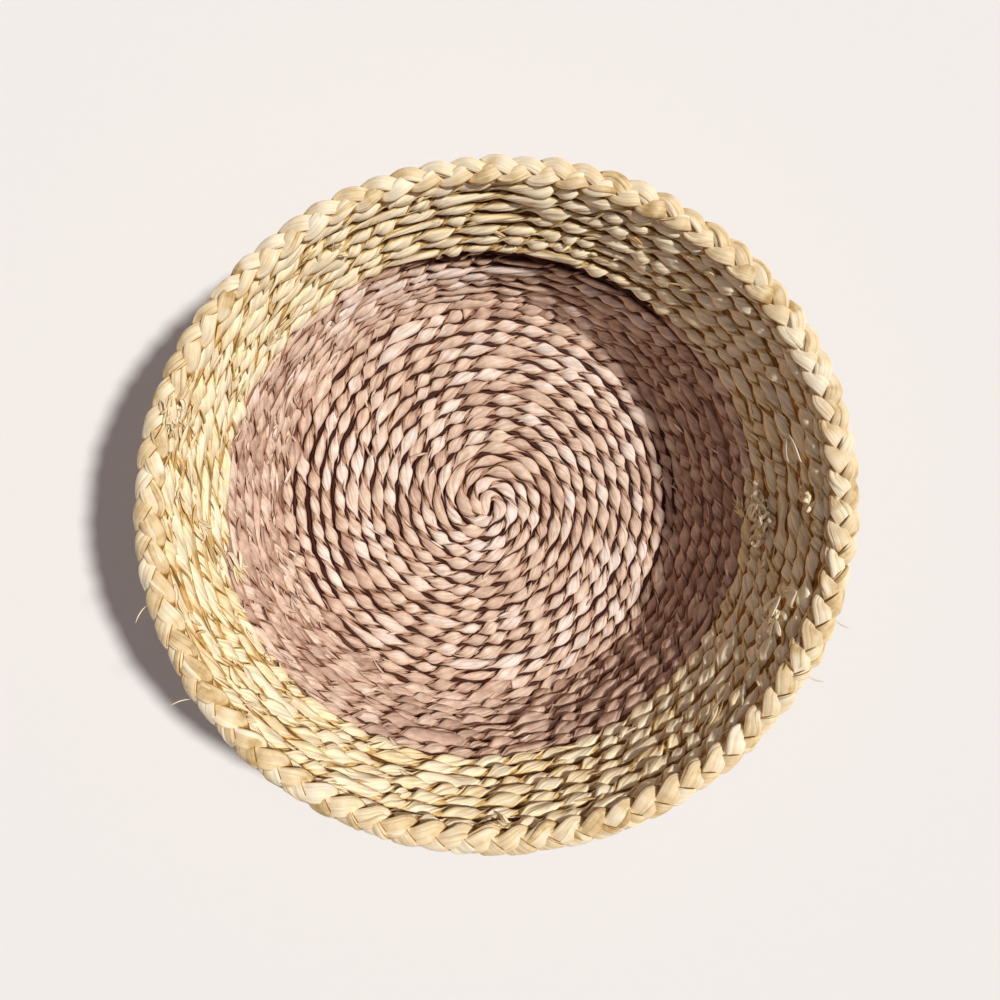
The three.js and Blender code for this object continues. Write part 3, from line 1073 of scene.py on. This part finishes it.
def add_loop(tubes, clock, rows_high, turn, reach, span, lift, width, tone):
    """A strip of leaf that leaves the face, bends over at its reach and comes back a span beside it."""
    root, ahead, row, off = inner_surface(clock, rows_high)
    angle = math.radians(turn)
    along = ahead * math.cos(angle) + row * math.sin(angle)
    bow = np.linspace(0, math.pi, LOOP_STEPS)[:, None]
    centre = root + reach * (1 - np.abs(np.cos(bow)) ** 1.3) * along + lift * np.sin(bow) ** 0.5 * off
    centre = centre + span / 2 * np.cos(bow) * np.cross(off, along) - LOOP_ROOT_DEPTH * off
    centre = centre + 0.05 * reach * np.sin(3 * bow + 700 * width) * row
    half = width / 2 * (0.45 + 0.55 * np.sin(2 * bow) ** 2)
    lengthwise = np.linspace(0, 2 * reach, len(centre)) + 9 * tone
    add_ribbon(tubes, centre, off, half, RIBBON_FLATNESS, lengthwise, tone, LOOP_CREST)


def swirl(rng, turn, size):
    """A smooth random curve along a turn, of about a size to either side."""
    return sum(size / waves * np.sin(waves * turn + rng.uniform(0, math.tau)) for waves in KNOT_WAVES)


def add_knot(tubes, rng, clock, rows_high, count, reach):
    """A crumpled end of leaf: broad ribbons that wind about one place on the face."""
    root, ahead, row, off = inner_surface(clock, rows_high)
    turn = np.linspace(0, KNOT_TURN * math.pi, KNOT_STEPS)[:, None]
    for _ in range(count):
        along, up = (rng.normal(0, scatter) * reach for scatter in KNOT_SCATTER)
        centre = root + along * ahead + up * row + swirl(rng, turn, KNOT_SWIRLS[0] * reach) * ahead
        centre = centre + swirl(rng, turn, KNOT_SWIRLS[1] * reach) * row
        centre = centre + (KNOT_HEIGHT * reach + swirl(rng, turn, KNOT_SWIRLS[2] * reach)) * off
        face = off + swirl(rng, turn, KNOT_TWIST) * ahead + swirl(rng, turn, KNOT_TWIST) * row
        half = reach * rng.uniform(*KNOT_HALF_WIDTHS) * (0.3 + 0.7 * np.sin(turn / KNOT_TURN) ** 0.5)
        lengthwise = 0.5 * reach * turn[:, 0] + rng.uniform(0, 9)
        tone = rng.uniform(*KNOT_TONES)
        add_ribbon(tubes, centre, face, half, KNOT_FLATNESS, lengthwise, tone, KNOT_CREST)


def add_stray(tubes, clock, turn):
    """A thin fibre that leaves the plait's outer edge."""
    azimuth = -math.radians(clock)
    radius, height, _ = profile(np.array(RIM_LENGTH))
    edge = radius + round_the_rim(PLAIT_OUTWARD, azimuth) + 1.5 * PLAIT_SWING
    root = place(edge, azimuth, height + PLAIT_HEIGHT_OVER_RIM, MOUTH_OVALITY)
    angle = azimuth - math.radians(turn)
    heading = np.array([math.cos(angle), math.sin(angle), STRAY_RISE])
    up = np.array([0.0, 0.0, 1.0])
    add_sliver(tubes, root, heading, up, STRAY_LENGTH, STRAY_WIDTH, STRAY_LIFT, STRAY_BEND, 1.0)


def dress_loose_leaf(material):
    """The loops, knots, tufts and strays, which are all of natural leaf."""
    rng = np.random.default_rng(LOOSE_SEED)
    tubes = Tubes()
    for loop in LOOPS:
        add_loop(tubes, *loop)
    for knot in KNOTS:
        add_knot(tubes, rng, *knot)
    for tuft in TUFTS:
        add_tuft(tubes, rng, *tuft)
    for stray in STRAYS:
        add_stray(tubes, *stray)
    loose = tubes.build("loose_leaf_ends", material)
    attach(loose, "root")


def dress_cord(number, order, kind, materials):
    """One length of cord, standing for its node in the frame."""
    name, from_turns, to_turns, slot, tone, bleached, slivers = kind
    rng = np.random.default_rng(CORD_SEEDS * number + order)
    from_change, to_change = from_turns == COLOUR_CHANGE_TURNS, to_turns == COLOUR_CHANGE_TURNS
    first = from_turns - (SPLICE_TURNS if from_change else 0)
    route = spliced(cord_route(first, to_turns, number), from_change, to_change)
    route["tone"] = tone
    route["bleached"] = bleached
    route["natural"] = slot == "natural_cord"
    tubes = Tubes()
    add_cord(tubes, route, rng)
    add_twine(tubes, from_turns, min(to_turns, TWINE_END_TURNS), number)
    add_slivers(tubes, route, rng, slivers)
    cord = tubes.build(f"{name}_{number}_twisted", materials[slot])
    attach(cord, "root")
    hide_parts(f"{name}_{number}")


def dress_plait(material):
    """The three strands, each standing for its node in the frame; the first has the lacing with it."""
    for strand in range(STRANDS):
        tubes = Tubes()
        add_strand(tubes, strand, np.random.default_rng(STRAND_SEEDS + strand))
        if strand == 0:
            add_lacing(tubes)
        thing = tubes.build(f"rim_strand_{strand + 1}_leaf", material)
        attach(thing, "root")
        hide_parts(f"rim_strand_{strand + 1}")


def plain_floor():
    material = bpy.data.materials.new("pale_floor")
    material.use_nodes = True
    shader = material.node_tree.nodes["Principled BSDF"]
    shader.inputs["Base Color"].default_value = (0.80, 0.79, 0.77, 1)
    shader.inputs["Roughness"].default_value = 0.9
    bpy.ops.mesh.primitive_plane_add(size=12)
    floor = bpy.context.object
    floor.name = "floor"
    floor.data.materials.append(material)


def lights():
    """A soft key from the right and a little up the picture, and an even pale fill."""
    data = bpy.data.lights.new("key", "SUN")
    data.energy = 3.2
    data.angle = math.radians(5)
    data.color = (1.0, 0.98, 0.95)
    key = bpy.data.objects.new("key", data)
    lean, azimuth = math.radians(28), math.radians(11)
    towards = Vector(
        (math.sin(lean) * math.cos(azimuth), math.sin(lean) * math.sin(azimuth), math.cos(lean))
    )
    key.rotation_euler = towards.to_track_quat("Z", "Y").to_euler()
    bpy.context.scene.collection.objects.link(key)
    world = bpy.data.worlds.new("fill")
    world.use_nodes = True
    background = world.node_tree.nodes["Background"]
    background.inputs["Color"].default_value = (1.0, 0.86, 0.93, 1)
    background.inputs["Strength"].default_value = 0.22
    bpy.context.scene.world = world


def camera():
    """Overhead, a little to the left, as the photograph looks into the basket."""
    eye = Vector((-9.88, 2.86, 62.4)) * ROW_PITCH
    target = Vector((1.18, 0.14, 0)) * ROW_PITCH
    data = bpy.data.cameras.new("camera")
    data.lens = 27.13
    data.sensor_width = 36
    thing = bpy.data.objects.new("camera", data)
    forward = (target - eye).normalized()
    right = forward.cross(Vector((0, 1, 0))).normalized()
    upward = right.cross(forward)
    turn = Matrix((right, upward, -forward)).transposed().to_4x4()
    thing.matrix_world = Matrix.Translation(eye) @ turn
    bpy.context.scene.collection.objects.link(thing)
    bpy.context.scene.camera = thing


cord_materials = {"mauve_cord": mauve_leaf(), "natural_cord": straw_leaf()}
for cord_number in range(1, CORDS + 1):
    for kind_order, kind_of_cord in enumerate(KINDS_OF_CORD):
        dress_cord(cord_number, kind_order, kind_of_cord, cord_materials)
dress_loose_leaf(cord_materials["natural_cord"])
dress_plait(plait_leaf())
plain_floor()
lights()
camera()
bpy.context.scene.view_settings.view_transform = "Standard"
